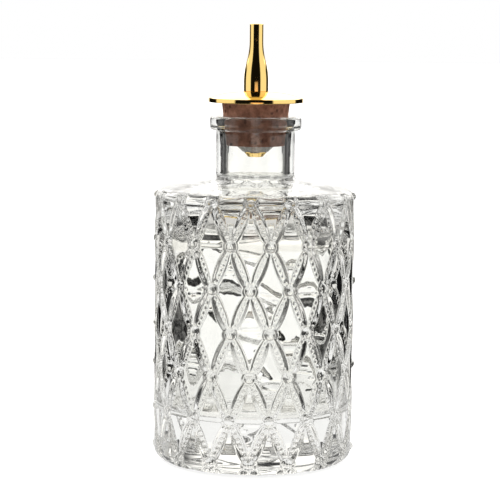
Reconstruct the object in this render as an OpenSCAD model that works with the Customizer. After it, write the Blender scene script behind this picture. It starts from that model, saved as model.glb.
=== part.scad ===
// Bitters bottle: a pressed glass bottle with a diamond and pearl pattern, and a
// cork stopper that carries a gilt flange and pouring spout.
// Z is up. The origin is at the centre of the base, and the front faces -Y.

/* [Glass body] */
// Diameter of the body over the faces of the diamonds
body_d = 61; // [56:0.5:66]
// Height of the outer edge of the shoulder, before it is rounded
shoulder_z = 83.4; // [80:0.1:96]
// Rise of the shoulder from its outer edge to the foot of the neck
shoulder_rise = 1.9; // [0.5:0.1:4]
// Radius that rounds the outer edge of the shoulder
shoulder_round = 3.3; // [2:0.1:4]
// Radius that rounds the outer edge of the base
base_round = 4; // [2:0.1:4.5]
// Thickness of the glass wall
wall = 5; // [4:0.1:7]
// Thickness of the solid glass base
base_t = 15; // [10:0.5:20]
// Thickness of the glass under the shoulder
shoulder_t = 4; // [3:0.1:6]
// Radius that rounds the cavity where its floor meets its wall
floor_round = 4; // [2:0.1:6]
// Radius that rounds the cavity where its wall meets the shoulder
ceiling_round = 3; // [1:0.1:5]
// Diameter of the hollow under the base
punt_d = 40; // [30:1:46]
// Depth of the hollow under the base
punt_depth = 1.4; // [0.8:0.1:3]

/* [Neck and lip] */
// Outer diameter of the neck
neck_d = 24.1; // [22.5:0.1:26]
// Height of the neck and lip above the top of the shoulder
neck_h = 19.9; // [18:0.1:26]
// Radius of the fillet at the foot of the neck
neck_fillet = 2.8; // [1:0.1:4]
// Radius of the fillet inside, where the neck opens into the cavity
throat_round = 6; // [3:0.1:7]
// Diameter of the lip ring
lip_d = 28; // [26.5:0.1:32]
// Height of the lip ring
lip_h = 4.2; // [3:0.1:6]
// Radius that rounds the edges of the lip ring
lip_round = 1; // [0.4:0.1:1.4]
// Radius that rounds the mouth
mouth_round = 0.7; // [0.3:0.1:1]

/* [Diamond and pearl pattern] */
// Number of diamonds in one row round the body
columns = 16; // [12:1:16]
// Number of rows of grooves up the body
groove_rows = 6; // [4:1:6]
// Fall of each diamond from its middle to its corners
diamond_crown = 0.8; // [0.2:0.1:1]
// Height of the lowest row of pearls
first_row_z = 3.8; // [3:0.1:6]
// Height from one row of pearls to the next
row_pitch = 12.93; // [11:0.01:13]
// Turn of the pattern from the front, in degrees
pattern_turn = -2.2; // [-11:0.1:11]
// Width of one leaf-shaped groove between two diamonds, at its middle
groove_w = 4; // [2:0.1:4]
// Depth of one leaf-shaped groove, at its middle
groove_depth = 1.6; // [0.8:0.1:1.8]
// Depth of the hollow round each pearl
moat_depth = 0.3; // [0.1:0.1:0.6]
// Diameter of one pearl
pearl_d = 3.2; // [2:0.1:3.6]
// Height of a pearl above the faces of the diamonds
pearl_proud = 0.5; // [0.2:0.1:0.8]

/* [Cork] */
// Diameter of the top of the cork
cork_top_d = 20.7; // [20.3:0.1:21.8]
// Diameter of the bottom of the cork
cork_bottom_d = 17.8; // [16:0.1:18.4]
// Length of the cork
cork_len = 13; // [11:0.1:15]
// Height of the cork that stands above the lip
cork_proud = 4.2; // [3:0.1:6]
// Clearance all round the cork in the neck
cork_gap = 0.08; // [0.05:0.01:0.15]

/* [Flange and spout] */
// Diameter of the flange
flange_d = 29; // [26:0.1:34]
// Thickness of the flange at its rim
flange_t = 0.95; // [0.8:0.05:1.5]
// Rise of the domed top of the flange, from its rim to the spout
dome_h = 2.3; // [1.2:0.1:3]
// Height of the spout above the flange
spout_h = 20.35; // [18:0.05:24]
// Diameter of the tip of the spout
tip_d = 4.16; // [3.6:0.02:5]
// Length of the straight tip of the spout
tip_len = 5; // [3:0.1:6]
// Diameter of the barrel of the spout
barrel_d = 7.5; // [7:0.1:9]
// Height of the top of the barrel above the flange
barrel_h = 2.85; // [2.5:0.05:4]
// Diameter of the pouring hole
hole_d = 2.4; // [1.6:0.1:2.8]

/* [Shank and its seals] */
// Outer diameter of the shank tube
shank_d = 4.4; // [4:0.1:5]
// Wall of the shank tube
shank_wall = 0.45; // [0.3:0.05:0.6]
// Length of the shank tube inside the spout
shank_grip = 2.2; // [1.5:0.1:2.4]
// Clearance round the shank in each piece that it passes through
shank_gap = 0.04; // [0.02:0.01:0.08]
// Diameter of the top of the washer
washer_top_d = 11.7; // [10:0.1:14]
// Diameter of the bottom of the washer
washer_bottom_d = 7.8; // [7:0.1:9]
// Thickness of the washer
washer_t = 2.1; // [1.5:0.1:3]
// Width of the notch in the rim of the washer
notch_w = 0.8; // [0.5:0.1:1.2]
// Diameter of the top of the retaining collar
collar_top_d = 6.8; // [6:0.1:7]
// Diameter of the bottom of the retaining collar
collar_bottom_d = 5; // [4.8:0.1:5.6]
// Thickness of the retaining collar
collar_t = 1.5; // [1:0.1:2.5]

/* [Hidden] */
$fn = 96;

// Heights, from the bottom up
body_r = body_d / 2;
shoulder_top = shoulder_z + shoulder_rise;
lip_top = shoulder_top + neck_h;
lip_bottom = lip_top - lip_h;
cork_top = lip_top + cork_proud;
cork_bottom = cork_top - cork_len;
washer_bottom = cork_bottom - washer_t;
collar_bottom = washer_bottom - collar_t;
flange_top = cork_top + flange_t + dome_h;
spout_top = flange_top + spout_h;

// Slope of the shoulder, from its rounded edge up to the fillet at the neck
shoulder_slope = atan(shoulder_rise / (body_r - shoulder_round - neck_d / 2 - neck_fillet));

// Radii of the cork and of the tapered seat that it wedges into
cork_taper = (cork_top_d - cork_bottom_d) / 2 / cork_len;
function cork_r(z) = cork_bottom_d / 2 + cork_taper * (z - cork_bottom);
mouth_r = cork_r(lip_top) + cork_gap;
throat_r = cork_r(cork_bottom) + cork_gap;

// Inside of the body
cavity_r = body_r - wall;
ceiling_z = shoulder_z - shoulder_t;

// Pattern
pitch_angle = 360 / columns;
half_cell_w = PI * body_r / columns;
half_columns = 2 * columns;
groove_run = norm([half_cell_w, row_pitch]);
pearl_rows = groove_rows + 1;
arc_steps = 10;
leaf_steps = 4;
leaf_point = 1.5;
leaf_flat = 1.5;
pearl_facets = 24;
skin_gap = 0.02;
cut_slack = 1;

// Points on an arc about the centre c, from the angle a to the angle b
function arc(c, r, a, b, steps = arc_steps) =
    [for (i = [0:steps]) c + r * [cos(a + (b - a) * i / steps), sin(a + (b - a) * i / steps)]];

// A ring of copies, one per column, shifted by part of a column
module round_body(shift = 0) {
    for (i = [0:columns - 1])
        rotate([0, 0, (i + shift) * pitch_angle + pattern_turn - 90])
            children();
}

// Outline of the glass outside, from the axis at the base to the axis at the lip
function outer_profile() = concat(
    [[0, 0]],
    arc([body_r - base_round, base_round], base_round, -90, 0),
    arc([body_r - shoulder_round, shoulder_z - shoulder_round], shoulder_round, 0, 90 - shoulder_slope),
    arc([neck_d / 2 + neck_fillet, shoulder_top + neck_fillet], neck_fillet, 270 - shoulder_slope, 180),
    [[neck_d / 2, lip_bottom]],
    arc([lip_d / 2 - lip_round, lip_bottom + lip_round], lip_round, -90, 0),
    arc([lip_d / 2 - lip_round, lip_top - lip_round], lip_round, 0, 90),
    [[0, lip_top]]
);

// Outline of the cavity, the throat and the tapered seat of the cork
function inner_profile() = concat(
    [[0, base_t]],
    arc([cavity_r - floor_round, base_t + floor_round], floor_round, -90, 0),
    arc([cavity_r - ceiling_round, ceiling_z - ceiling_round], ceiling_round, 0, 90),
    arc([throat_r + throat_round, ceiling_z + throat_round], throat_round, 270, 180),
    [[throat_r, cork_bottom]],
    [[mouth_r - cork_taper * mouth_round, lip_top - mouth_round]],
    arc([mouth_r + mouth_round, lip_top - mouth_round], mouth_round, 180, 90),
    [[mouth_r + mouth_round, lip_top + cut_slack], [0, lip_top + cut_slack]]
);

// A point of the pattern: a counts half diamonds round the body, h counts rows up, and drop is its depth
function on_body(a, h, drop) =
    let (turn = a * pitch_angle / 2 + pattern_turn - 90, r = body_r - skin_gap - drop)
    [r * cos(turn), r * sin(turn), first_row_z + h * row_pitch];

// Fall of a diamond's face at a place in half diamonds and rows from its middle
function crown_drop(a, h) = diamond_crown * min(1, a * a + h * h);

// Width and depth of a leaf-shaped groove, as shares of their greatest, at the share f of its length:
// the greater leaf_point is, the longer its tips, and the greater leaf_flat is, the longer its level bottom
function leaf_w(f) = pow(sin(180 * f), leaf_point);
function leaf_depth(f) = min(1, leaf_flat * sin(180 * f));

// The points of one groove: bottom, rim above and rim below at each step. It rises to one side,
// from the pearl at the lower corner of its cell to the pearl at the upper corner.
function leaf_points(column, row, side) = [
    for (i = [1:leaf_steps - 1])
        let (
            f = i / leaf_steps,
            a = side > 0 ? f : 1 - f,
            half = groove_w / 2 * leaf_w(f),
            da = side * half * row_pitch / groove_run / half_cell_w,
            dh = half * half_cell_w / groove_run / row_pitch,
            middle_a = side > 0 ? 0 : 1,
            bottom = crown_drop(a - middle_a, f - 1) + groove_depth * leaf_depth(f)
        )
        each [
            on_body(column + a, row + f, bottom),
            on_body(column + a - da, row + f + dh, crown_drop(a - da - middle_a, f + dh - 1)),
            on_body(column + a + da, row + f - dh, crown_drop(a + da - 1 + middle_a, f - dh)),
        ]
];

// Faces of one cell: the groove along its diagonal, and the quarter of a diamond on each side of it
function cell_faces(low, high, upper, lower, leaf) =
    let (
        last = leaf_steps - 2,
        bottom = [for (i = [0:last]) leaf + 3 * i],
        above = [for (i = [0:last]) leaf + 3 * i + 1],
        below = [for (i = [0:last]) leaf + 3 * i + 2]
    )
    concat(
        [[low, below[0], bottom[0]], [low, bottom[0], above[0]]],
        [[upper, low, above[0]], [lower, below[0], low]],
        [for (i = [0:last - 1]) each [
            [below[i], below[i + 1], bottom[i + 1]],
            [below[i], bottom[i + 1], bottom[i]],
            [bottom[i], bottom[i + 1], above[i + 1]],
            [bottom[i], above[i + 1], above[i]],
            [upper, above[i], above[i + 1]],
            [lower, below[i + 1], below[i]],
        ]],
        [[below[last], high, bottom[last]], [bottom[last], high, above[last]]],
        [[upper, above[last], high], [lower, high, below[last]]]
    );

// Ring that cuts the pattern: its inside is the skin of crowned diamonds and leaf-shaped grooves
module pattern_cutter() {
    n = half_columns;
    cells = n * groove_rows;
    leaf_size = 3 * (leaf_steps - 1);
    outer_r = body_r + 2 * cut_slack;
    corners = [for (h = [0:groove_rows], a = [0:n - 1])
        on_body(a, h, (a + h) % 2 == 0 ? diamond_crown + moat_depth : 0)];
    leaves = [for (h = [0:groove_rows - 1], a = [0:n - 1]) each leaf_points(a, h, (a + h) % 2 == 0 ? 1 : -1)];
    rims = [for (h = [0, groove_rows], a = [0:n - 1]) on_body(a, h, body_r - skin_gap - outer_r)];
    leaves_at = len(corners);
    rims_at = leaves_at + len(leaves);
    top = n * groove_rows;
    skin = [for (h = [0:groove_rows - 1], a = [0:n - 1])
        let (
            b = (a + 1) % n,
            leaf = leaves_at + leaf_size * (h * n + a),
            left = [h * n + a, (h + 1) * n + a],
            right = [h * n + b, (h + 1) * n + b],
            rises = (a + h) % 2 == 0,
            faces = rises
                ? cell_faces(left[0], right[1], left[1], right[0], leaf)
                : cell_faces(right[0], left[1], right[1], left[0], leaf)
        )
        each [for (face = faces) rises ? face : [face[2], face[1], face[0]]]];
    ends = [for (a = [0:n - 1])
        let (b = (a + 1) % n)
        each [
            [a, rims_at + a, rims_at + b, b],
            [top + a, top + b, rims_at + n + b, rims_at + n + a],
            [rims_at + a, rims_at + n + a, rims_at + n + b, rims_at + b],
        ]];
    polyhedron(points = concat(corners, leaves, rims), faces = concat(skin, ends));
}

// One pearl at each crossing of the lattice
module pearls() {
    for (row = [0:pearl_rows - 1])
        round_body((row % 2) / 2)
            translate([body_r + pearl_proud - pearl_d / 2, 0, first_row_z + row * row_pitch])
                sphere(d = pearl_d, $fn = pearl_facets);
}

module glass_bottle() {
    punt_r = (pow(punt_d / 2, 2) + pow(punt_depth, 2)) / (2 * punt_depth);
    color([0.86, 0.9, 0.88, 0.45])
        difference() {
            union() {
                difference() {
                    rotate_extrude()
                        polygon(outer_profile());
                    pattern_cutter();
                }
                pearls();
            }
            rotate_extrude()
                polygon(inner_profile());
            translate([0, 0, punt_depth - punt_r])
                sphere(r = punt_r);
        }
}

module cork_stopper() {
    color([0.54, 0.37, 0.31])
        difference() {
            translate([0, 0, cork_bottom])
                cylinder(d1 = cork_bottom_d, d2 = cork_top_d, h = cork_len);
            translate([0, 0, cork_bottom - cut_slack])
                cylinder(r = shank_d / 2 + shank_gap, h = cork_len + 2 * cut_slack);
        }
}

module spout_flange() {
    edge = flange_t / 4;
    rim_r = flange_d / 2 - edge;
    seat_r = barrel_d / 2;
    chord = norm([rim_r - seat_r, dome_h]);
    dome_r = chord / 2 / sin(atan(dome_h / (rim_r - seat_r)));
    dome_a = 2 * asin(chord / 2 / dome_r);
    color([0.93, 0.73, 0.25])
        difference() {
            rotate_extrude()
                polygon(concat(
                    [[0, cork_top]],
                    arc([rim_r, cork_top + edge], edge, -90, 0, 4),
                    [[flange_d / 2, cork_top + flange_t - edge]],
                    arc([seat_r, flange_top - dome_r], dome_r, 90 - dome_a, 90, 12),
                    [[0, flange_top]]
                ));
            translate([0, 0, cork_top - cut_slack])
                cylinder(r = shank_d / 2 + shank_gap, h = flange_t + dome_h + 2 * cut_slack);
        }
}

// Outline of the spout: barrel, ogee and straight tip
function spout_profile() =
    let (
        tip_r = tip_d / 2,
        barrel_r = barrel_d / 2,
        barrel_top = flange_top + barrel_h,
        ogee_h = (spout_top - tip_len - barrel_top) / 2,
        ogee_w = (barrel_r - tip_r) / 2,
        ogee_r = (pow(ogee_h, 2) + pow(ogee_w, 2)) / (2 * ogee_w),
        ogee_a = asin(ogee_h / ogee_r),
        lip = tip_d / 20
    )
    concat(
        [[0, flange_top], [barrel_r, flange_top]],
        arc([barrel_r - ogee_r, barrel_top], ogee_r, 0, ogee_a),
        arc([tip_r + ogee_r, spout_top - tip_len], ogee_r, 180 + ogee_a, 180),
        [[tip_r, spout_top - lip], [tip_r - lip, spout_top], [0, spout_top]]
    );

module pour_spout() {
    socket_r = shank_d / 2 + shank_gap;
    socket_top = flange_top + shank_grip;
    color([0.95, 0.76, 0.28])
        difference() {
            rotate_extrude()
                polygon(spout_profile());
            translate([0, 0, flange_top - cut_slack])
                cylinder(r = socket_r, h = shank_grip + cut_slack);
            translate([0, 0, socket_top])
                cylinder(r1 = socket_r - shank_wall, r2 = hole_d / 2, h = socket_r);
            translate([0, 0, flange_top])
                cylinder(d = hole_d, h = spout_h + cut_slack);
        }
}

module shank_tube() {
    color([0.85, 0.66, 0.24])
        difference() {
            translate([0, 0, collar_bottom])
                cylinder(d = shank_d, h = flange_top + shank_grip - collar_bottom);
            translate([0, 0, collar_bottom - cut_slack])
                cylinder(r = shank_d / 2 - shank_wall, h = flange_top + shank_grip - collar_bottom + 2 * cut_slack);
        }
}

module sealing_washer() {
    color([0.85, 0.84, 0.8, 0.7])
        difference() {
            translate([0, 0, washer_bottom])
                cylinder(d1 = washer_bottom_d, d2 = washer_top_d, h = washer_t);
            translate([0, 0, washer_bottom - cut_slack])
                cylinder(r = shank_d / 2 + shank_gap, h = washer_t + 2 * cut_slack);
            translate([0, -washer_top_d / 2, washer_bottom])
                rotate([0, 0, 45])
                    cube([notch_w, notch_w, 2 * washer_t + cut_slack], center = true);
        }
}

module retaining_collar() {
    color([0.9, 0.7, 0.26])
        difference() {
            translate([0, 0, collar_bottom])
                cylinder(d1 = collar_bottom_d, d2 = collar_top_d, h = collar_t);
            translate([0, 0, collar_bottom - cut_slack])
                cylinder(r = shank_d / 2 + shank_gap, h = collar_t + 2 * cut_slack);
        }
}

glass_bottle();
cork_stopper();
spout_flange();
pour_spout();
shank_tube();
sealing_washer();
retaining_collar();
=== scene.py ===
"""Looks of the bitters bottle: pressed glass with a diamond and pearl pattern, cork, and gilt pour top."""

import math

import bpy
import numpy as np
from mathutils import Matrix, Vector


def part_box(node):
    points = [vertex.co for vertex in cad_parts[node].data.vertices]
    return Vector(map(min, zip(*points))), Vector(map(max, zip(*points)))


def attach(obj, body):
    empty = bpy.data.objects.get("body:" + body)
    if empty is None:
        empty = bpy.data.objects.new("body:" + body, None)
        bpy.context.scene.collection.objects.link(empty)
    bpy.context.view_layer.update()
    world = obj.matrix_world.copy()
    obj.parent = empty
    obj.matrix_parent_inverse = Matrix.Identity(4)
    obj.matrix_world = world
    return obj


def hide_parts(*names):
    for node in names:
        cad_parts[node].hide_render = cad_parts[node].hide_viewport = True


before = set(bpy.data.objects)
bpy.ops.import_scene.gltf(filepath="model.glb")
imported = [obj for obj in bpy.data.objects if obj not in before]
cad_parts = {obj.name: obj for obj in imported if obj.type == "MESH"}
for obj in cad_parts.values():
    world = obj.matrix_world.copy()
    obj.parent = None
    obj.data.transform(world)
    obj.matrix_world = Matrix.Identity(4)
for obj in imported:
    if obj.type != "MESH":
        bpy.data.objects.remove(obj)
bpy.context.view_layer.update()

# Sizes, in metres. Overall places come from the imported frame.
MM = 0.001
GLASS_LOW, GLASS_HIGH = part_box("glass_bottle")
CORK_LOW, CORK_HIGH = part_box("cork_stopper")
FLANGE_LOW, FLANGE_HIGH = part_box("spout_flange")
SPOUT_LOW, SPOUT_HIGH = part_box("pour_spout")
TUBE_LOW, TUBE_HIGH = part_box("shank_tube")
WASHER_LOW, WASHER_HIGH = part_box("sealing_washer")
COLLAR_LOW, COLLAR_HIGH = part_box("retaining_collar")

# Glass: body, shoulder, cavity, hollow of the base, neck and lip
BODY_R = 30.5 * MM
BASE_ROUND = 4 * MM
SHOULDER_Z = 83.4 * MM
SHOULDER_RISE = 1.9 * MM
SHOULDER_ROUND = 3.3 * MM
WALL = 5 * MM
BASE_T = 15 * MM
SHOULDER_T = 4 * MM
FLOOR_ROUND = 4 * MM
CEILING_ROUND = 14 * MM
PUNT_R = 20 * MM
PUNT_DEPTH = 1.4 * MM
NECK_R = 12.05 * MM
NECK_FILLET = 2.8 * MM
THROAT_ROUND = 6 * MM
LIP_R = 14 * MM
LIP_H = 4.2 * MM
LIP_ROUND = 1 * MM
LIP_FILLET = 0.4 * MM
MOUTH_ROUND = 0.7 * MM
SEAT_GAP = 0.08 * MM
FOOT_LIFT = 0.02 * MM
INNER_WAVE = 0.004
WAVE_RUNS_OUT = 6 * MM
WAVE_PITCH = 9 * MM
WAVE_FROM = BASE_T + 1 * MM

# Waves of the inside of the glass: waves round it, rise with height, shift and share
WAVES = ((3, 0.8, 0, 1), (5, -1.3, 1.1, 0.6), (8, 2.1, 0, 0.4))

# Pattern: rows and columns of pearls, leaf-shaped grooves with beads, crowned diamonds
COLUMNS = 16
FIRST_ROW_Z = 3.8 * MM
ROW_PITCH = 12.93 * MM
PATTERN_TURN = math.radians(-2.2)
PATTERN_FADE = 1.6 * MM
FADE_SHARE = 0.75
GROOVE_HALF_W = 1.3 * MM
GROOVE_DEPTH = 1.0 * MM
GROOVE_WALL = 0.9 * MM
GROOVE_POINT = 0.75
GROOVE_FLAT = 1.5
DIAMOND_CROWN = 0.55 * MM
PEARL_R = 1.7 * MM
PEARL_PROUD = 0.5 * MM
MOAT_R = 2.3 * MM
MOAT_DEPTH = 0.9 * MM
MOAT_EDGE = 0.6 * MM
BEAD_R = 0.72 * MM
BEAD_H = 0.45 * MM
BEAD_SINK = 0.05 * MM
BEAD_FLAT = 1.25
BEADS_PER_GROOVE = 6
BEAD_PITCH = 1.72 * MM

# Fineness of the glass: points round the pattern, round the plain parts, and steps up the wall
FINE = COLUMNS * 48
COARSE = FINE // 4
ROW_STEP = 0.27 * MM

# Fineness of the turned pieces: points round each, and the angle from which an edge stays sharp
CORK_POINTS = 160
FLANGE_POINTS = 192
SPOUT_POINTS = 128
TUBE_POINTS = 96
WASHER_POINTS = 256
SHARP_FROM = math.radians(35)
CORK_SHARP_FROM = math.radians(50)

# Cork and metal
CORK_R_LOW = 8.9 * MM
CORK_BEVEL = 0.25 * MM
CORK_ROWS = 40
SHANK_GAP = 0.04 * MM
BORE_R = TUBE_HIGH.x + SHANK_GAP
TUBE_WALL = 0.45 * MM
RIM_T = 1.3 * MM
METAL_EDGE = 0.12 * MM
BARREL_H = 2.85 * MM
TIP_R = 2.08 * MM
TIP_LEN = 5 * MM
TIP_LIP = 0.2 * MM
HOLE_R = 1.2 * MM
HOLE_TAPER = 2.5 * MM
COLLAR_TOP_R = 3.4 * MM
COLLAR_LOW_R = 2.5 * MM
COLLAR_EDGE = 0.15 * MM

# Washer
WASHER_LOW_R = 3.9 * MM
WASHER_RIM = 0.35 * MM
NOTCH_LEFT = -0.7 * MM
NOTCH_HALF_W = 1.1 * MM
NOTCH_DEPTH = 1.3 * MM

# Finishes: colours, textures by their scale, and ranges from low to high
PLAIN = (1, 1, 1, 1)
GLASS_COLOUR = (0.99, 0.99, 0.965, 1)
GLASS_IOR = 1.5
GLASS_RIPPLE_SCALE = 180
GLASS_RIPPLE = 0.08
GLASS_RIPPLE_DEPTH = 0.2 * MM
GOLD_COLOUR = (1.0, 0.72, 0.26, 1)
GOLD_GRAIN_SCALE = 900
GOLD_GRAIN_DETAIL = 3
GOLD_ROUGHNESS = (0.04, 0.1)
CORK_DARK = (0.28, 0.115, 0.08, 1)
CORK_PALE = (0.74, 0.38, 0.27, 1)
CORK_TINT_RANGE = (0.32, 0.68)
CORK_PORE = (0.12, 0.08, 0.07, 1)
CORK_PORE_RANGE = (0.1, 0.24)
CORK_PORE_SCALE = 330
CORK_PORE_SHARE = 0.8
CORK_GRAIN_SCALE = 420
CORK_GRAIN_DETAIL = 6
CORK_GRAIN_HARSHNESS = 0.65
CORK_BUMP = 0.5
CORK_BUMP_DEPTH = 0.4 * MM
CORK_ROUGHNESS = 0.85
WASHER_COLOUR = (0.92, 0.9, 0.86, 1)
WASHER_IOR = 1.45
WASHER_CLEARNESS = 0.2
WASHER_GRAIN_SCALE = 700
WASHER_ROUGHNESS = (0.15, 0.4)
FLOOR_COLOUR = (0.6, 0.6, 0.6, 1)
FLOOR_ROUGHNESS = 0.9
FLOOR_GLOW = 0.75

# Camera: worked out from the photograph, in real sizes
CAMERA_AWAY = 0.64
CAMERA_UP = 0.1407
AIM_UP = 0.0642
CAMERA_LEFT = 0.00134
CAMERA_ROLL = math.radians(0.57)
PIXELS_PER_MM = 3.271
FRAME_PIXELS = 500
SENSOR_MM = 36

# Studio, seen from above. Angles are measured round the bottle from the camera's side, in degrees,
# positive to the right: softboxes at the sides, dark flags, and the white backdrop straight behind.
# Heights are the upward share of a direction: 0 is level and 1 is straight up.
FULL_TURN = 360
BAND_SOFTNESS = 3
BACKDROP_FROM = 152
BACKDROP_TOP = 0.35
BACKDROP_TOP_BLUR = 0.05
BACKDROP_RAMP = (0.05, 0.3)
BACKDROP_LOW_LEVEL = 1.05
BACKDROP_HIGH_LEVEL = 1.3
GLOSS_FROM = 110
GLOSS_RAMP = (0.1, 0.3)
GLOSS_LEVEL = 2.4
GLOSS_BOOST = 0.15
SOFTBOX_TO = 110
SOFTBOX_RIGHT_FROM = 42
SOFTBOX_LEFT_FROM = 52
SOFTBOX_LOW = -0.3
SOFTBOX_HIGH = 0.7
SOFTBOX_BLUR = 0.05
SOFTBOX_LEVEL = 0.9
OVERHEAD_FROM = 0.72
OVERHEAD_BLUR = 0.1
OVERHEAD_LEVEL = 0.7
DARK_LEVEL = 0.006
GLOW_LEFT = -12
GLOW_RIGHT = 17
GLOW_LOW = -0.3
GLOW_HIGH = -0.035
GLOW_BLUR = 0.01
GLOW_LEVEL = 1.3
STUDIO_TINT = (1, 0.985, 0.95, 1)
GLOW_TINT = (1, 0.62, 0.42, 1)

# Floor: a white disc under the bottle, a white table behind it and a strip in front, in metres. Its glow is
# dimmer near the bottle: painted shade standing in for the bottle's shadow
FLOOR_HALF = 4
FLOOR_DROP = 0.05 * MM
FLOOR_NEAR_SHADE_LEVEL = 0.95
FLOOR_FAR_LEVEL = 1.15
FLOOR_DIM_TO = 0.1
FLOOR_BRIGHT_FROM = 0.25
FLOOR_WAIST = 0.05
FLOOR_FLARE_BACK = 0.05
FLOOR_DARK_TO = 0.68
FLOOR_BLUR = 0.01
FLOOR_DISC_R = 0.09
FLOOR_DISC_EDGE = 0.04
FLOOR_FRONT = 0.62
FLOOR_FRONT_EDGE = 0.05
FLOOR_FRONT_HALF = 0.06
FLOOR_STEP = 0.06

# How often a ray may bounce: in all and through glass, and between shiny faces
GLASS_BOUNCES = 24
SHINY_BOUNCES = 8


def make_mesh(name, verts, faces, sharp_from=None):
    """A mesh object from vertices and faces: smooth all over, or with sharp edges from an angle on."""
    mesh = bpy.data.meshes.new(name)
    mesh.from_pydata(verts, [], faces)
    mesh.update()
    mesh.shade_smooth()
    if sharp_from is not None:
        mesh.set_sharp_from_angle(angle=sharp_from)
    obj = bpy.data.objects.new(name, mesh)
    bpy.context.scene.collection.objects.link(obj)
    return obj


def arc(cx, cz, r, start, end, steps):
    """Points on a circular arc in the r-z plane, from start to end in degrees."""
    angles = np.radians(np.linspace(start, end, steps + 1))
    return [(cx + r * math.cos(a), cz + r * math.sin(a)) for a in angles]


def band(low, high, segments):
    """Faces between two rings of points, each given by its first point."""
    faces = []
    for k in range(segments):
        n = (k + 1) % segments
        faces.append((low + k, low + n, high + n, high + k))
    return faces


def lathe(name, profile, segments, sharp_from=SHARP_FROM):
    """A turned piece round a bore, from a closed outline of (r, z) points."""
    verts = []
    for r, z in profile:
        for k in range(segments):
            a = 2 * math.pi * k / segments
            verts.append((r * math.cos(a), r * math.sin(a), z))
    faces = []
    for i in range(len(profile)):
        faces += band(i * segments, (i + 1) % len(profile) * segments, segments)
    return make_mesh(name, verts, faces, sharp_from)


def smooth_step(x):
    """A smooth rise from 0 to 1 as x goes from 0 to 1."""
    x = np.clip(x, 0, 1)
    return x * x * (3 - 2 * x)


def pattern_height(angle, height):
    """Relief of the diamond and pearl pattern, measured from the plain wall, at an angle and height."""
    half_w = math.pi * BODY_R / COLUMNS
    edge = math.hypot(half_w, ROW_PITCH)
    across = 2 * half_w * ROW_PITCH / edge
    skew = (ROW_PITCH**2 - half_w**2) / edge
    s = (angle + math.pi / 2 - PATTERN_TURN) * BODY_R / half_w
    t = (height - FIRST_ROW_Z) / ROW_PITCH
    u = (s + t) / 2
    v = (t - s) / 2
    du = u - np.round(u)
    dv = v - np.round(v)

    # Crown of each diamond, highest at its middle
    mid_u = np.abs(u - np.floor(u) - 0.5)
    mid_v = np.abs(v - np.floor(v) - 0.5)
    crown = -DIAMOND_CROWN * np.clip(2 * (mid_u**2 + mid_v**2), 0, 1)
    relief = crown

    # Leaf-shaped grooves along the edges of the diamonds, each with its chain of beads
    for d, other in ((du, dv), (dv, du)):
        part = np.abs(other)
        reach = np.sin(np.pi * part)
        half = GROOVE_HALF_W * reach**GROOVE_POINT
        off = np.abs(d) * across
        cut = 1 - smooth_step((off - half) / GROOVE_WALL + 0.5)
        depth = GROOVE_DEPTH * np.minimum(1, GROOVE_FLAT * reach)
        relief = np.minimum(relief, crown - depth * cut)
        along = (0.5 - part) * edge - d * skew * np.sign(other)
        last = BEADS_PER_GROOVE / 2 - 0.5
        place = np.clip(np.round(along / BEAD_PITCH - 0.5) + 0.5, -last, last)
        gap = np.hypot(off, along - place * BEAD_PITCH) / BEAD_R
        bead = crown - depth - BEAD_SINK + BEAD_H * smooth_step(BEAD_FLAT * (1 - gap))
        relief = np.where(gap < 1, np.maximum(relief, bead), relief)

    # Ring-shaped moat and pearl at each crossing
    dist = np.hypot((du - dv) * half_w, (du + dv) * ROW_PITCH)
    moat = crown - MOAT_DEPTH * smooth_step((MOAT_R - dist) / MOAT_EDGE)
    relief = np.minimum(relief, moat)
    pearl = np.sqrt(np.maximum(PEARL_R**2 - dist**2, 0)) - PEARL_R + PEARL_PROUD
    return np.where(dist < PEARL_R, np.maximum(relief, pearl), relief)


def rounded_row(r, z, round_r, degrees):
    """A row of the wall on a rounding about (r, z): its place, its normal and its height along the wall."""
    turn = math.radians(degrees)
    normal_r = math.cos(turn)
    normal_z = math.sin(turn)
    return r + round_r * normal_r, z + round_r * normal_z, normal_r, normal_z, z + round_r * turn


def patterned_rows():
    """The plain wall under the pattern, from foot to shoulder, as rows of place, normal and height."""
    wall_high = SHOULDER_Z - SHOULDER_ROUND
    rows = []
    steps = int(BASE_ROUND * math.pi / 2 / ROW_STEP)
    for a in np.linspace(-90, 0, steps, endpoint=False):
        rows.append(rounded_row(BODY_R - BASE_ROUND, BASE_ROUND, BASE_ROUND, a))
    steps = int((wall_high - BASE_ROUND) / ROW_STEP)
    for z in np.linspace(BASE_ROUND, wall_high, steps, endpoint=False):
        rows.append((BODY_R, z, 1, 0, z))
    steps = int(SHOULDER_ROUND * math.pi / 2 / ROW_STEP)
    for a in np.linspace(0, 90 - shoulder_slope(), steps + 1):
        rows.append(rounded_row(BODY_R - SHOULDER_ROUND, wall_high, SHOULDER_ROUND, a))
    return np.array(rows)


def shoulder_slope():
    """Fall of the shoulder from the neck's fillet to the body's rounding, in degrees."""
    return math.degrees(math.atan(SHOULDER_RISE / (BODY_R - SHOULDER_ROUND - NECK_R - NECK_FILLET)))


def between(start, end, parts, first, last):
    """Points that divide the line from start to end into equal parts, from the first to before the last."""
    return [(start[0] + (end[0] - start[0]) * i / parts, start[1] + (end[1] - start[1]) * i / parts)
            for i in range(first, last)]


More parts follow.
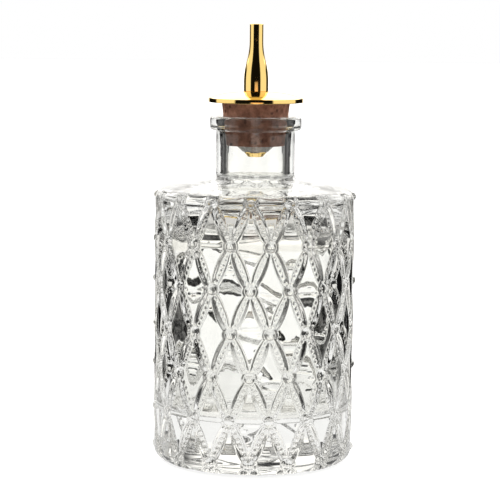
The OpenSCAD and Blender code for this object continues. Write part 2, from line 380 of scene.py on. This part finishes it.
def plain_outline(start):
    """The plain rest of the glass: shoulder, neck, lip, tapered seat, throat, cavity and its floor."""
    shoulder_top = SHOULDER_Z + SHOULDER_RISE
    lip_top = GLASS_HIGH.z
    lip_bottom = lip_top - LIP_H
    cork_taper = (CORK_HIGH.x - CORK_R_LOW) / (CORK_HIGH.z - CORK_LOW.z)
    mouth_r = CORK_R_LOW + cork_taper * (lip_top - CORK_LOW.z) + SEAT_GAP
    mouth = (mouth_r, lip_top - MOUTH_ROUND)
    throat = (CORK_R_LOW + SEAT_GAP, CORK_LOW.z)
    throat_end = throat[0] + THROAT_ROUND
    cavity_r = BODY_R - WALL
    ceiling_z = SHOULDER_Z - SHOULDER_T
    ceiling_end = cavity_r - CEILING_ROUND
    floor_end = cavity_r - FLOOR_ROUND
    wall_top = (cavity_r, ceiling_z - CEILING_ROUND)
    wall_low = (cavity_r, BASE_T + FLOOR_ROUND)

    slope = shoulder_slope()
    fillet = arc(NECK_R + NECK_FILLET, shoulder_top + NECK_FILLET, NECK_FILLET, 270 - slope, 180, 10)
    points = between(start, fillet[0], 12, 1, 12)
    points += fillet
    points += between((NECK_R, fillet[-1][1]), (NECK_R, lip_bottom), 8, 1, 8)
    points += arc(NECK_R + LIP_FILLET, lip_bottom - LIP_FILLET, LIP_FILLET, 180, 90, 4)
    points += arc(LIP_R - LIP_ROUND, lip_bottom + LIP_ROUND, LIP_ROUND, -90, 0, 7)
    points += arc(LIP_R - LIP_ROUND, lip_top - LIP_ROUND, LIP_ROUND, 0, 90, 7)
    points += arc(mouth_r + MOUTH_ROUND, lip_top - MOUTH_ROUND, MOUTH_ROUND, 90, 180, 6)
    points += between(mouth, throat, 6, 1, 7)
    points += arc(throat_end, ceiling_z + THROAT_ROUND, THROAT_ROUND, 180, 270, 12)
    points += between((throat_end, ceiling_z), (ceiling_end, ceiling_z), 4, 1, 4)
    points += arc(ceiling_end, wall_top[1], CEILING_ROUND, 90, 0, 8)
    points += between(wall_top, wall_low, 24, 1, 24)
    points += arc(floor_end, wall_low[1], FLOOR_ROUND, 0, -90, 9)
    points += between((floor_end, BASE_T), (0, BASE_T), 8, 1, 8)
    return points


def underside_outline():
    """The flat ring that the bottle stands on and the domed hollow inside it, from the foot inward."""
    dome_r = (PUNT_R**2 + PUNT_DEPTH**2) / (2 * PUNT_DEPTH)
    points = between((BODY_R - BASE_ROUND, 0), (PUNT_R, 0), 4, 1, 5)
    for i in range(1, 10):
        r = PUNT_R * (1 - i / 10)
        points.append((r, PUNT_DEPTH - dome_r + math.sqrt(dome_r**2 - r**2)))
    return points


def inner_wave(a, height):
    """A slow unevenness of the wall of the cavity, from the mould, as a share of the radius."""
    if height < WAVE_FROM:
        return 0
    wall_top = SHOULDER_Z - SHOULDER_T - CEILING_ROUND
    inside = max(0.0, min(1.0, (wall_top - height) / WAVE_RUNS_OUT))
    z = height / WAVE_PITCH
    wave = sum(share * math.sin(count * a + rise * z + shift) for count, rise, shift, share in WAVES)
    return INNER_WAVE * wave * inside


def patterned_wall():
    """The points of the patterned wall, row by row. The pattern runs out at the foot and at the shoulder."""
    rows = patterned_rows()
    theta = 2 * np.pi * np.arange(FINE) / FINE
    angle, wall_z = np.meshgrid(theta, rows[:, 4])
    low_end = BASE_ROUND - FADE_SHARE * BASE_ROUND * math.pi / 2
    high_end = SHOULDER_Z - SHOULDER_ROUND + FADE_SHARE * SHOULDER_ROUND * math.pi / 2
    relief = pattern_height(angle, wall_z)
    relief = relief * smooth_step((wall_z - low_end) / PATTERN_FADE)
    relief = relief * smooth_step((high_end - wall_z) / PATTERN_FADE)
    r = rows[:, 0][:, None] + relief * rows[:, 2][:, None]
    z = rows[:, 1][:, None] + relief * rows[:, 3][:, None]
    z = np.maximum(z, FOOT_LIFT)
    z[0, :] = 0
    return np.stack([r * np.cos(angle), r * np.sin(angle), z], axis=-1), tuple(rows[-1, :2])


def bridge(fine_ring, coarse_ring):
    """Faces between a fine ring of points and the coarser ring beside it."""
    ratio = FINE // COARSE
    half = ratio // 2
    faces = []
    for j in range(COARSE):
        following = (j + 1) % COARSE
        for k in range(ratio):
            p = fine_ring + (j * ratio + k) % FINE
            q = fine_ring + (j * ratio + k + 1) % FINE
            faces.append((p, q, coarse_ring + (j if k < half else following)))
        middle = fine_ring + (j * ratio + half) % FINE
        faces.append((middle, coarse_ring + following, coarse_ring + j))
    return faces


def glass_mesh():
    """One closed mesh: patterned wall, shoulder, neck, lip, tapered seat, cavity, base and its hollow."""
    wall, wall_end = patterned_wall()
    verts = list(map(tuple, wall.reshape(-1, 3)))
    faces = []
    for i in range(len(wall) - 1):
        faces += band(i * FINE, (i + 1) * FINE, FINE)

    def carry_on(outline, fine_ring, pole_z, outward):
        """Carries the mesh on from a ring of the wall, along an outline, to a point on the axis."""
        previous = None
        added = []
        for r, z in outline:
            here = len(verts)
            for k in range(COARSE):
                a = 2 * math.pi * k / COARSE
                uneven = r * (1 + inner_wave(a, z))
                verts.append((uneven * math.cos(a), uneven * math.sin(a), z))
            added += bridge(fine_ring, here) if previous is None else band(previous, here, COARSE)
            previous = here
        pole = len(verts)
        verts.append((0, 0, pole_z))
        added += [(previous + k, previous + (k + 1) % COARSE, pole) for k in range(COARSE)]
        faces.extend(added if outward else [face[::-1] for face in added])

    carry_on(plain_outline(wall_end), (len(wall) - 1) * FINE, BASE_T, True)
    carry_on(underside_outline(), 0, PUNT_DEPTH, False)
    return make_mesh("pressed_glass_bottle", verts, faces)


def new_material(name):
    """A material, and the nodes, links and shader to work on it with."""
    material = bpy.data.materials.new(name)
    material.use_nodes = True
    nodes = material.node_tree.nodes
    shader = nodes["Principled BSDF"]
    return material, nodes, material.node_tree.links, shader


def texture(nodes, links, kind, scale, detail=2):
    """A noise or cell texture in the piece's own coordinates."""
    coords = nodes.new("ShaderNodeTexCoord")
    node = nodes.new(kind)
    node.inputs["Scale"].default_value = scale
    if kind == "ShaderNodeTexNoise":
        node.inputs["Detail"].default_value = detail
    links.new(coords.outputs["Object"], node.inputs["Vector"])
    return node


def add_bump(nodes, links, shader, height, strength, distance):
    """Fine unevenness of the surface that a texture gives."""
    bump = nodes.new("ShaderNodeBump")
    bump.inputs["Strength"].default_value = strength
    bump.inputs["Distance"].default_value = distance
    links.new(height, bump.inputs["Height"])
    links.new(bump.outputs["Normal"], shader.inputs["Normal"])


def add_uneven_roughness(nodes, links, shader, noise, low, high):
    """A roughness that varies with a noise texture."""
    ramp = nodes.new("ShaderNodeMapRange")
    ramp.inputs["To Min"].default_value = low
    ramp.inputs["To Max"].default_value = high
    links.new(noise.outputs["Fac"], ramp.inputs["Value"])
    links.new(ramp.outputs["Result"], shader.inputs["Roughness"])


def colour_ramp(nodes, links, value, places, low_colour, high_colour):
    """A colour that goes from one to another as the value goes from the first place to the second."""
    ramp = nodes.new("ShaderNodeValToRGB")
    low, high = ramp.color_ramp.elements
    low.position, high.position = places
    low.color = low_colour
    high.color = high_colour
    links.new(value, ramp.inputs["Fac"])
    return ramp.outputs["Color"]


def glass_material():
    material, nodes, links, shader = new_material("clear_glass")
    shader.inputs["Base Color"].default_value = GLASS_COLOUR
    shader.inputs["Transmission Weight"].default_value = 1
    shader.inputs["Roughness"].default_value = 0
    shader.inputs["IOR"].default_value = GLASS_IOR
    noise = texture(nodes, links, "ShaderNodeTexNoise", GLASS_RIPPLE_SCALE)
    add_bump(nodes, links, shader, noise.outputs["Fac"], GLASS_RIPPLE, GLASS_RIPPLE_DEPTH)
    return material


def gold_material():
    material, nodes, links, shader = new_material("gilt_metal")
    shader.inputs["Base Color"].default_value = GOLD_COLOUR
    shader.inputs["Metallic"].default_value = 1
    noise = texture(nodes, links, "ShaderNodeTexNoise", GOLD_GRAIN_SCALE, GOLD_GRAIN_DETAIL)
    add_uneven_roughness(nodes, links, shader, noise, *GOLD_ROUGHNESS)
    return material


def cork_material():
    material, nodes, links, shader = new_material("cork")
    grain = texture(nodes, links, "ShaderNodeTexNoise", CORK_GRAIN_SCALE, CORK_GRAIN_DETAIL)
    grain.inputs["Roughness"].default_value = CORK_GRAIN_HARSHNESS
    cells = texture(nodes, links, "ShaderNodeTexVoronoi", CORK_PORE_SCALE)
    tint = colour_ramp(nodes, links, grain.outputs["Fac"], CORK_TINT_RANGE, CORK_DARK, CORK_PALE)
    pores = colour_ramp(nodes, links, cells.outputs["Distance"], CORK_PORE_RANGE, CORK_PORE, PLAIN)
    mix = nodes.new("ShaderNodeMix")
    mix.data_type = "RGBA"
    mix.blend_type = "MULTIPLY"
    mix.inputs["Factor"].default_value = CORK_PORE_SHARE
    links.new(tint, mix.inputs["A"])
    links.new(pores, mix.inputs["B"])
    links.new(mix.outputs["Result"], shader.inputs["Base Color"])
    add_bump(nodes, links, shader, grain.outputs["Fac"], CORK_BUMP, CORK_BUMP_DEPTH)
    shader.inputs["Roughness"].default_value = CORK_ROUGHNESS
    return material


def washer_material():
    material, nodes, links, shader = new_material("clear_plastic")
    shader.inputs["Base Color"].default_value = WASHER_COLOUR
    shader.inputs["Transmission Weight"].default_value = WASHER_CLEARNESS
    shader.inputs["IOR"].default_value = WASHER_IOR
    noise = texture(nodes, links, "ShaderNodeTexNoise", WASHER_GRAIN_SCALE)
    add_uneven_roughness(nodes, links, shader, noise, *WASHER_ROUGHNESS)
    return material


def dress(obj, material, body, node):
    """Gives a piece its material and record slot, and lets it stand for its CAD node."""
    obj.data.materials.append(material)
    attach(obj, body)
    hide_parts(node)


def add_glass():
    dress(glass_mesh(), glass_material(), "bottle", "glass_bottle")


def add_cork():
    """Tapered cork with softly rounded edges."""
    top_r = CORK_HIGH.x
    side = between((CORK_R_LOW, CORK_LOW.z), (top_r, CORK_HIGH.z), CORK_ROWS, 1, CORK_ROWS)
    profile = [(BORE_R, CORK_LOW.z)]
    profile += arc(CORK_R_LOW - CORK_BEVEL, CORK_LOW.z + CORK_BEVEL, CORK_BEVEL, -90, 0, 4)
    profile += side
    profile += arc(top_r - CORK_BEVEL, CORK_HIGH.z - CORK_BEVEL, CORK_BEVEL, 0, 90, 4)
    profile += [(BORE_R, CORK_HIGH.z)]
    cork = lathe("tapered_cork", profile, CORK_POINTS, CORK_SHARP_FROM)
    dress(cork, cork_material(), "stopper", "cork_stopper")


def flange_profile():
    """Flat underside, upright rim and shallow dome up to the foot of the spout."""
    flange_r = FLANGE_HIGH.x
    rim_r = flange_r - METAL_EDGE
    rim_top = FLANGE_LOW.z + RIM_T
    run = rim_r - SPOUT_HIGH.x
    turn = 2 * math.atan((FLANGE_HIGH.z - rim_top) / run)
    dome_r = run / math.sin(turn)
    points = [(BORE_R, FLANGE_LOW.z)]
    points += arc(rim_r, FLANGE_LOW.z + METAL_EDGE, METAL_EDGE, -90, 0, 5)
    points += [(flange_r, rim_top - METAL_EDGE), (flange_r - 0.3 * METAL_EDGE, rim_top - 0.15 * METAL_EDGE)]
    points += arc(SPOUT_HIGH.x, FLANGE_HIGH.z - dome_r, dome_r, 90 - math.degrees(turn), 90, 24)
    points += [(BORE_R, FLANGE_HIGH.z)]
    return points


def spout_profile():
    """Barrel, ogee, straight tip, pouring hole and the socket for the shank."""
    barrel_r = SPOUT_HIGH.x
    low = SPOUT_LOW.z
    top = SPOUT_HIGH.z
    barrel_top = low + BARREL_H
    tip_low = top - TIP_LEN
    ogee_h = (tip_low - barrel_top) / 2
    ogee_w = (barrel_r - TIP_R) / 2
    ogee_r = (ogee_h**2 + ogee_w**2) / (2 * ogee_w)
    ogee_a = math.degrees(math.asin(ogee_h / ogee_r))
    points = [(BORE_R, low), (barrel_r - METAL_EDGE, low), (barrel_r, low + METAL_EDGE)]
    points += arc(barrel_r - ogee_r, barrel_top, ogee_r, 0, ogee_a, 20)
    points += arc(TIP_R + ogee_r, tip_low, ogee_r, 180 + ogee_a, 180, 20)[1:]
    points += arc(TIP_R - TIP_LIP, top - TIP_LIP, TIP_LIP, 0, 90, 4)
    points += arc(HOLE_R + TIP_LIP, top - TIP_LIP, TIP_LIP, 90, 180, 4)
    points += [(HOLE_R, TUBE_HIGH.z + HOLE_TAPER), (BORE_R - TUBE_WALL, TUBE_HIGH.z), (BORE_R, TUBE_HIGH.z)]
    return points


def shank_profile():
    """Plain tube."""
    outer_r = TUBE_HIGH.x
    inner_r = outer_r - TUBE_WALL
    return [(inner_r, TUBE_LOW.z), (outer_r, TUBE_LOW.z), (outer_r, TUBE_HIGH.z), (inner_r, TUBE_HIGH.z)]


def collar_profile():
    """Cone that narrows downward, with a short upright rim."""
    low = COLLAR_LOW.z
    top = COLLAR_HIGH.z
    points = [(BORE_R, low), (COLLAR_LOW_R - COLLAR_EDGE, low), (COLLAR_LOW_R, low + COLLAR_EDGE)]
    points += [(COLLAR_TOP_R, top - 2 * COLLAR_EDGE), (COLLAR_TOP_R, top), (BORE_R, top)]
    return points


def add_metal():
    """Flange, spout, shank and collar, all in one gilt finish."""
    gold = gold_material()
    turned = (
        ("gilt_flange", flange_profile(), FLANGE_POINTS, "spout_flange"),
        ("gilt_spout", spout_profile(), SPOUT_POINTS, "pour_spout"),
        ("shank", shank_profile(), TUBE_POINTS, "shank_tube"),
        ("end_collar", collar_profile(), TUBE_POINTS, "retaining_collar"),
    )
    for name, profile, points, node in turned:
        dress(lathe(name, profile, points), gold, "stopper", node)


def add_washer():
    """A moulded cone. The upper rim has a notch at its front, which runs out at the lower rim."""
    low = WASHER_LOW.z
    top = WASHER_HIGH.z
    top_r = WASHER_HIGH.x
    profile = [(BORE_R, low), (WASHER_LOW_R, low), (top_r, top - WASHER_RIM), (top_r, top), (BORE_R, top)]
    washer = lathe("cone_washer", profile, WASHER_POINTS)
    for vertex in washer.data.vertices:
        at_rim = math.hypot(vertex.co.x, vertex.co.y) > WASHER_LOW_R + WASHER_RIM
        if at_rim and vertex.co.y < 0:
            across = abs(vertex.co.x - NOTCH_LEFT) / NOTCH_HALF_W
            inward = 1 - NOTCH_DEPTH / top_r * (1 - float(smooth_step(across)))
            vertex.co.x *= inward
            vertex.co.y *= inward
    dress(washer, washer_material(), "stopper", "sealing_washer")


def add_camera():
    """Camera at the photograph's place, level apart from its pitch and a slight roll."""
    pitch = math.atan2(CAMERA_UP - AIM_UP, CAMERA_AWAY)
    away_mm = math.hypot(CAMERA_AWAY, CAMERA_UP - AIM_UP) / MM
    data = bpy.data.cameras.new("camera")
    data.sensor_width = SENSOR_MM
    data.lens = PIXELS_PER_MM * away_mm / FRAME_PIXELS * SENSOR_MM
    camera = bpy.data.objects.new("camera", data)
    bpy.context.scene.collection.objects.link(camera)
    right = Vector((1, 0, 0))
    up = Vector((0, math.sin(pitch), math.cos(pitch)))
    forward = Vector((0, math.cos(pitch), -math.sin(pitch)))
    c = math.cos(CAMERA_ROLL)
    s = math.sin(CAMERA_ROLL)
    rolled_right = right * c + up * s
    rolled_up = up * c - right * s
    turn = Matrix((rolled_right, rolled_up, -forward)).transposed().to_4x4()
    camera.matrix_world = Matrix.Translation((-CAMERA_LEFT, -CAMERA_AWAY, CAMERA_UP)) @ turn
    bpy.context.scene.camera = camera


def shorthands(nodes, links):
    """Two functions that add arithmetic to one set of nodes."""
    def combine(operation, a, b=None):
        """A math node on one or two inputs, each a socket or a number."""
        node = nodes.new("ShaderNodeMath")
        node.operation = operation
        for socket, value in ((0, a), (1, b)):
            if value is None:
                continue
            if isinstance(value, (int, float)):
                node.inputs[socket].default_value = value
            else:
                links.new(value, node.inputs[socket])
        return node.outputs[0]

    def ramp(value, start, end, low, high):
        """A smooth ramp from low to high as the value goes from start to end."""
        node = nodes.new("ShaderNodeMapRange")
        node.interpolation_type = "SMOOTHSTEP"
        for socket, number in (("From Min", start), ("From Max", end), ("To Min", low), ("To Max", high)):
            node.inputs[socket].default_value = number
        links.new(value, node.inputs["Value"])
        return node.outputs["Result"]

    return combine, ramp


def add_floor():
    """A pale floor. In glass and metal it shows as a white table that narrows beside the bottle, its glow
    dimmed near the bottle as painted shade.
    """
    z = min(GLASS_LOW.z, 0) - FLOOR_DROP
    verts = [(-FLOOR_HALF, -FLOOR_HALF, z), (FLOOR_HALF, -FLOOR_HALF, z)]
    verts += [(FLOOR_HALF, FLOOR_HALF, z), (-FLOOR_HALF, FLOOR_HALF, z)]
    floor = make_mesh("pale_floor", verts, [(0, 1, 2, 3)])
    material, nodes, links, shader = new_material("pale_floor")
    shader.inputs["Base Color"].default_value = FLOOR_COLOUR
    shader.inputs["Roughness"].default_value = FLOOR_ROUGHNESS
    shader.inputs["Emission Color"].default_value = PLAIN
    shader.inputs["Emission Strength"].default_value = FLOOR_GLOW

    combine, ramp = shorthands(nodes, links)
    coords = nodes.new("ShaderNodeTexCoord")
    split = nodes.new("ShaderNodeSeparateXYZ")
    reach = nodes.new("ShaderNodeVectorMath")
    reach.operation = "LENGTH"
    links.new(coords.outputs["Object"], split.inputs[0])
    links.new(coords.outputs["Object"], reach.inputs[0])
    away = reach.outputs["Value"]
    side = combine("ABSOLUTE", split.outputs["X"])
    back = split.outputs["Y"]
    flare = combine("MULTIPLY", back, math.tan(math.radians(180 - BACKDROP_FROM)))
    behind = combine("MAXIMUM", combine("SUBTRACT", flare, FLOOR_FLARE_BACK), FLOOR_WAIST)
    front = ramp(back, -FLOOR_STEP, 0, FLOOR_FRONT_HALF, 0)
    inside = combine("SUBTRACT", combine("MAXIMUM", behind, front), side)
    table = ramp(inside, -FLOOR_BLUR, FLOOR_BLUR, 0, 1)
    table = combine("MULTIPLY", table, ramp(back, -FLOOR_FRONT - FLOOR_FRONT_EDGE, -FLOOR_FRONT, 0, 1))
    disc = ramp(away, FLOOR_DISC_R, FLOOR_DISC_R + FLOOR_DISC_EDGE, 1, 0)
    white = combine("MAXIMUM", table, disc)
    # Painted shade: the floor glows dimmer close to the bottle than farther off, standing in for the
    # bottle's shadow
    level = ramp(away, FLOOR_DIM_TO, FLOOR_BRIGHT_FROM, FLOOR_NEAR_SHADE_LEVEL, FLOOR_FAR_LEVEL)
    level = combine("ADD", combine("MULTIPLY", level, white), DARK_LEVEL)
    near = ramp(away, FLOOR_DARK_TO, FLOOR_DARK_TO + FLOOR_BLUR, 1, 0)

    glowing = nodes.new("ShaderNodeEmission")
    links.new(level, glowing.inputs["Strength"])
    clear = nodes.new("ShaderNodeBsdfTransparent")
    shown = nodes.new("ShaderNodeMixShader")
    links.new(combine("MAXIMUM", white, near), shown.inputs[0])
    links.new(clear.outputs[0], shown.inputs[1])
    links.new(glowing.outputs[0], shown.inputs[2])
    path = nodes.new("ShaderNodeLightPath")
    mix = nodes.new("ShaderNodeMixShader")
    links.new(path.outputs["Is Camera Ray"], mix.inputs[0])
    links.new(shown.outputs[0], mix.inputs[1])
    links.new(shader.outputs[0], mix.inputs[2])
    links.new(mix.outputs[0], nodes["Material Output"].inputs["Surface"])
    floor.data.materials.append(material)


def add_world():
    """The studio as glass and metal see it. The camera itself sees plain white."""
    world = bpy.data.worlds.new("studio")
    bpy.context.scene.world = world
    world.use_nodes = True
    nodes = world.node_tree.nodes
    links = world.node_tree.links
    nodes.clear()
    combine, ramp = shorthands(nodes, links)

    def window(value, low, high, softness):
        """1 between low and high, with soft edges."""
        rise = ramp(value, low - softness, low + softness, 0, 1)
        fall = ramp(value, high - softness, high + softness, 1, 0)
        return combine("MULTIPLY", rise, fall)

    path = nodes.new("ShaderNodeLightPath")
    coords = nodes.new("ShaderNodeTexCoord")
    split = nodes.new("ShaderNodeSeparateXYZ")
    links.new(coords.outputs["Generated"], split.inputs[0])
    height = split.outputs["Z"]
    toward = combine("MULTIPLY", split.outputs["Y"], -1)
    azimuth = combine("ARCTAN2", split.outputs["X"], toward)
    degrees = combine("MULTIPLY", azimuth, 180 / math.pi)
    side = combine("ABSOLUTE", degrees)
    reflected = path.outputs["Is Reflection Ray"]

    backdrop = window(side, BACKDROP_FROM, FULL_TURN, BAND_SOFTNESS)
    rising = ramp(height, *BACKDROP_RAMP, BACKDROP_LOW_LEVEL, BACKDROP_HIGH_LEVEL)
    ending = ramp(height, BACKDROP_TOP, BACKDROP_TOP + BACKDROP_TOP_BLUR, 1, 0)
    backdrop = combine("MULTIPLY", combine("MULTIPLY", backdrop, rising), ending)
    wide = window(side, GLOSS_FROM, FULL_TURN, BAND_SOFTNESS)
    wide = combine("MULTIPLY", wide, ramp(height, *GLOSS_RAMP, 0, GLOSS_LEVEL))
    backdrop = combine("MAXIMUM", backdrop, combine("MULTIPLY", wide, reflected))

    right = window(degrees, SOFTBOX_RIGHT_FROM, SOFTBOX_TO, BAND_SOFTNESS)
    left = window(degrees, -SOFTBOX_TO, -SOFTBOX_LEFT_FROM, BAND_SOFTNESS)
    tall = window(height, SOFTBOX_LOW, SOFTBOX_HIGH, SOFTBOX_BLUR)
    softboxes = combine("MULTIPLY", combine("MAXIMUM", right, left), SOFTBOX_LEVEL)
    softboxes = combine("MULTIPLY", softboxes, tall)
    overhead = ramp(height, OVERHEAD_FROM - OVERHEAD_BLUR, OVERHEAD_FROM + OVERHEAD_BLUR, 0, 1)
    overhead = combine("MULTIPLY", overhead, OVERHEAD_LEVEL)

    level = combine("MAXIMUM", combine("MAXIMUM", backdrop, overhead), softboxes)
    boost = combine("ADD", combine("MULTIPLY", reflected, GLOSS_BOOST), 1)
    level = combine("MAXIMUM", combine("MULTIPLY", level, boost), DARK_LEVEL)

    glow = window(degrees, GLOW_LEFT, GLOW_RIGHT, BAND_SOFTNESS)
    glow = combine("MULTIPLY", glow, window(height, GLOW_LOW, GLOW_HIGH, GLOW_BLUR))
    glow = combine("MULTIPLY", glow, reflected)
    tint = nodes.new("ShaderNodeMix")
    tint.data_type = "RGBA"
    tint.inputs["A"].default_value = STUDIO_TINT
    tint.inputs["B"].default_value = GLOW_TINT
    links.new(glow, tint.inputs["Factor"])
    level = combine("MAXIMUM", level, combine("MULTIPLY", glow, GLOW_LEVEL))

    studio = nodes.new("ShaderNodeBackground")
    links.new(level, studio.inputs["Strength"])
    links.new(tint.outputs["Result"], studio.inputs["Color"])
    plain = nodes.new("ShaderNodeBackground")
    plain.inputs["Color"].default_value = PLAIN
    plain.inputs["Strength"].default_value = 1
    mix = nodes.new("ShaderNodeMixShader")
    out = nodes.new("ShaderNodeOutputWorld")
    links.new(path.outputs["Is Camera Ray"], mix.inputs[0])
    links.new(studio.outputs[0], mix.inputs[1])
    links.new(plain.outputs[0], mix.inputs[2])
    links.new(mix.outputs[0], out.inputs["Surface"])


def set_view():
    """Plain colours, and enough bounces for the pattern on both sides of the glass."""
    scene = bpy.context.scene
    scene.view_settings.view_transform = "Standard"
    scene.cycles.max_bounces = GLASS_BOUNCES
    scene.cycles.transmission_bounces = GLASS_BOUNCES
    scene.cycles.glossy_bounces = SHINY_BOUNCES


add_camera()
add_floor()
add_world()
set_view()
add_glass()
add_cork()
add_metal()
add_washer()
